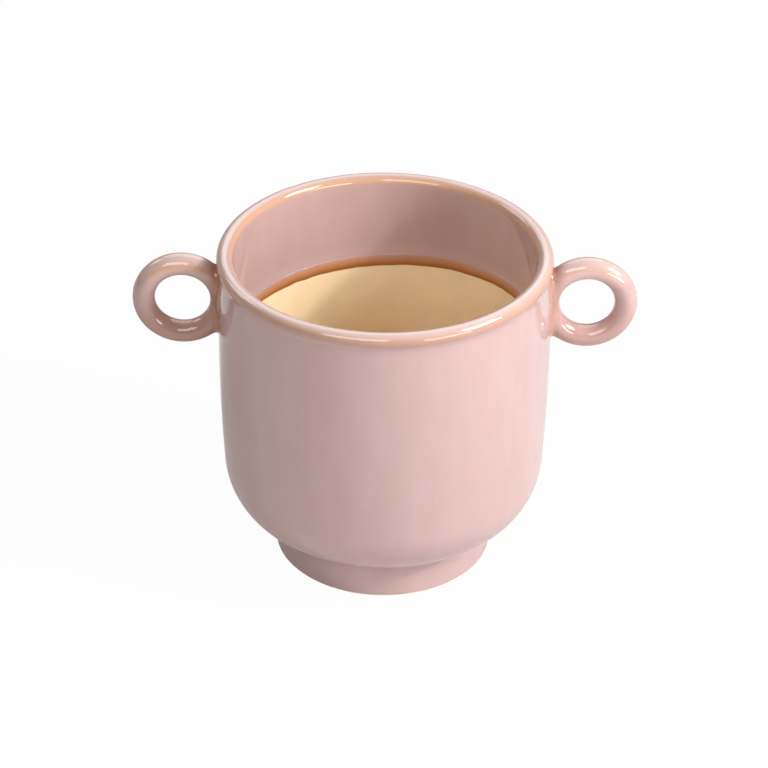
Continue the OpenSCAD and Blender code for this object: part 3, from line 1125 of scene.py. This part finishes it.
def make_lamps():
    """Area lamps that face the pot, and turn round it with the camera."""
    studio = bpy.context.scene.planter_studio
    for name, (azimuth, elevation, distance, width, height, power_name) in LAMPS.items():
        a, e = math.radians(azimuth) + studio.azimuth, math.radians(elevation)
        out = Vector((math.cos(e) * math.cos(a), math.cos(e) * math.sin(a), math.sin(e)))
        data = bpy.data.lights.new(name, "AREA")
        data.shape = "RECTANGLE"
        data.size, data.size_y = width, height
        data.energy = getattr(studio, power_name)
        lamp = new_object(name, data)
        place = LAMP_AIM + distance * out
        lamp.location = place
        lamp.rotation_euler = (LAMP_AIM - place).to_track_quat("-Z", "Y").to_euler()


def backdrop(tree, lit, white, camera_share, mirror_share):
    """What is lit, with a share of plain white to the camera, and another in reflections."""
    path = add(tree, "ShaderNodeLightPath").outputs
    mirrored = add(
        tree, MATH, path["Is Glossy Ray"], path["Is Transmission Ray"], operation="MAXIMUM"
    )
    mirrored = add(tree, MATH, mirrored, mirror_share, operation="MULTIPLY")
    seen = add(tree, MATH, path["Is Camera Ray"], camera_share, operation="MULTIPLY")
    share = add(tree, MATH, seen, mirrored, operation="MAXIMUM")
    return add(tree, "ShaderNodeMixShader", share, lit, white)


def make_floor():
    half, z = FLOOR_WIDTH / 2, CAD_BOX[0][2] - FLOOR_GAP
    corners = [(-half, -half, z), (half, -half, z), (half, half, z), (-half, half, z)]
    mesh = bpy.data.meshes.new("floor")
    mesh.from_pydata(corners, [], [(0, 1, 2, 3)])
    material = bpy.data.materials.new("Matte white paper sweep")
    tree = empty_tree(material)
    paper = add(tree, "ShaderNodeBsdfDiffuse", {"Color": opaque(linear("#d6d4d2"))})
    white = add(tree, "ShaderNodeEmission", {"Color": WHITE, "Strength": 1.0})
    mixed = backdrop(tree, paper, white, camera_share=0.96, mirror_share=0.06)
    add(tree, "ShaderNodeOutputMaterial", {"Surface": mixed})
    mesh.materials.append(material)
    new_object("floor", mesh)


def make_world():
    world = bpy.data.worlds.new("studio")
    tree = empty_tree(world)
    light, white = (
        add(tree, "ShaderNodeBackground", {"Color": WHITE, "Strength": strength})
        for strength in (bpy.context.scene.planter_studio.sky, 1.0)
    )
    mixed = backdrop(tree, light, white, camera_share=1.0, mirror_share=0.25)
    add(tree, "ShaderNodeOutputWorld", {"Surface": mixed})
    bpy.context.scene.world = world


def make_stage():
    make_floor()
    make_world()
    make_lamps()
    make_camera()
    bpy.context.scene.view_settings.view_transform = "Standard"


# Operators and panel


class PlanterOperator:
    bl_options = {"REGISTER", "UNDO"}

    def execute(self, context):
        self.make()
        return {"FINISHED"}


class PLANTER_OT_clay_pot(PlanterOperator, bpy.types.Operator):
    """Turn the clay pot"""

    bl_idname = "planter.clay_pot"
    bl_label = "Clay Pot"
    make = staticmethod(make_clay_pot)


class PLANTER_OT_clay_foot(PlanterOperator, bpy.types.Operator):
    """Turn the clay foot ring"""

    bl_idname = "planter.clay_foot"
    bl_label = "Clay Foot"
    make = staticmethod(make_clay_foot)


class PLANTER_OT_glaze_coat(PlanterOperator, bpy.types.Operator):
    """Dip the pot in glaze"""

    bl_idname = "planter.glaze_coat"
    bl_label = "Glaze Coat"
    make = staticmethod(make_glaze_coat)


class PLANTER_OT_glaze_bead(PlanterOperator, bpy.types.Operator):
    """Gather the glaze along its line inside"""

    bl_idname = "planter.glaze_bead"
    bl_label = "Glaze Bead"
    make = staticmethod(make_glaze_bead)


class PLANTER_OT_foot_root(PlanterOperator, bpy.types.Operator):
    """Fill the corner between pot and foot with glaze"""

    bl_idname = "planter.foot_root"
    bl_label = "Foot Root"
    make = staticmethod(make_foot_root)


class PLANTER_OT_finger_rings(PlanterOperator, bpy.types.Operator):
    """Roll both finger rings and glaze them"""

    bl_idname = "planter.finger_rings"
    bl_label = "Finger Rings"
    make = staticmethod(make_finger_rings)


class PLANTER_OT_ring_roots(PlanterOperator, bpy.types.Operator):
    """Blend both finger rings into the side"""

    bl_idname = "planter.ring_roots"
    bl_label = "Ring Roots"
    make = staticmethod(make_ring_roots)


class PLANTER_OT_stage(PlanterOperator, bpy.types.Operator):
    """Set up the floor, the lamps and the camera"""

    bl_idname = "planter.stage"
    bl_label = "Stage"
    make = staticmethod(make_stage)


OPERATORS = [
    PLANTER_OT_clay_pot,
    PLANTER_OT_clay_foot,
    PLANTER_OT_glaze_coat,
    PLANTER_OT_glaze_bead,
    PLANTER_OT_foot_root,
    PLANTER_OT_finger_rings,
    PLANTER_OT_ring_roots,
    PLANTER_OT_stage,
]


class PLANTER_PT_panel(bpy.types.Panel):
    """Sizes, colours and pieces of the planter"""

    bl_label = "Glazed Planter"
    bl_space_type = "VIEW_3D"
    bl_region_type = "UI"
    bl_category = "Planter"

    def draw(self, context):
        for key in GROUPS:
            group = getattr(context.scene, key)
            box = self.layout.box()
            for name in group.__annotations__:
                box.prop(group, name)
        for operator in OPERATORS:
            self.layout.operator(operator.bl_idname)


CLASSES = [*GROUPS.values(), *OPERATORS, PLANTER_PT_panel]


def register():
    for cls in CLASSES:
        bpy.utils.register_class(cls)
    for key, group in GROUPS.items():
        setattr(bpy.types.Scene, key, PointerProperty(type=group))


def unregister():
    for key in GROUPS:
        delattr(bpy.types.Scene, key)
    for cls in reversed(CLASSES):
        bpy.utils.unregister_class(cls)


def main():
    register()
    for operator in OPERATORS:
        group, name = operator.bl_idname.split(".")
        getattr(getattr(bpy.ops, group), name)()


if __name__ == "__main__":
    main()
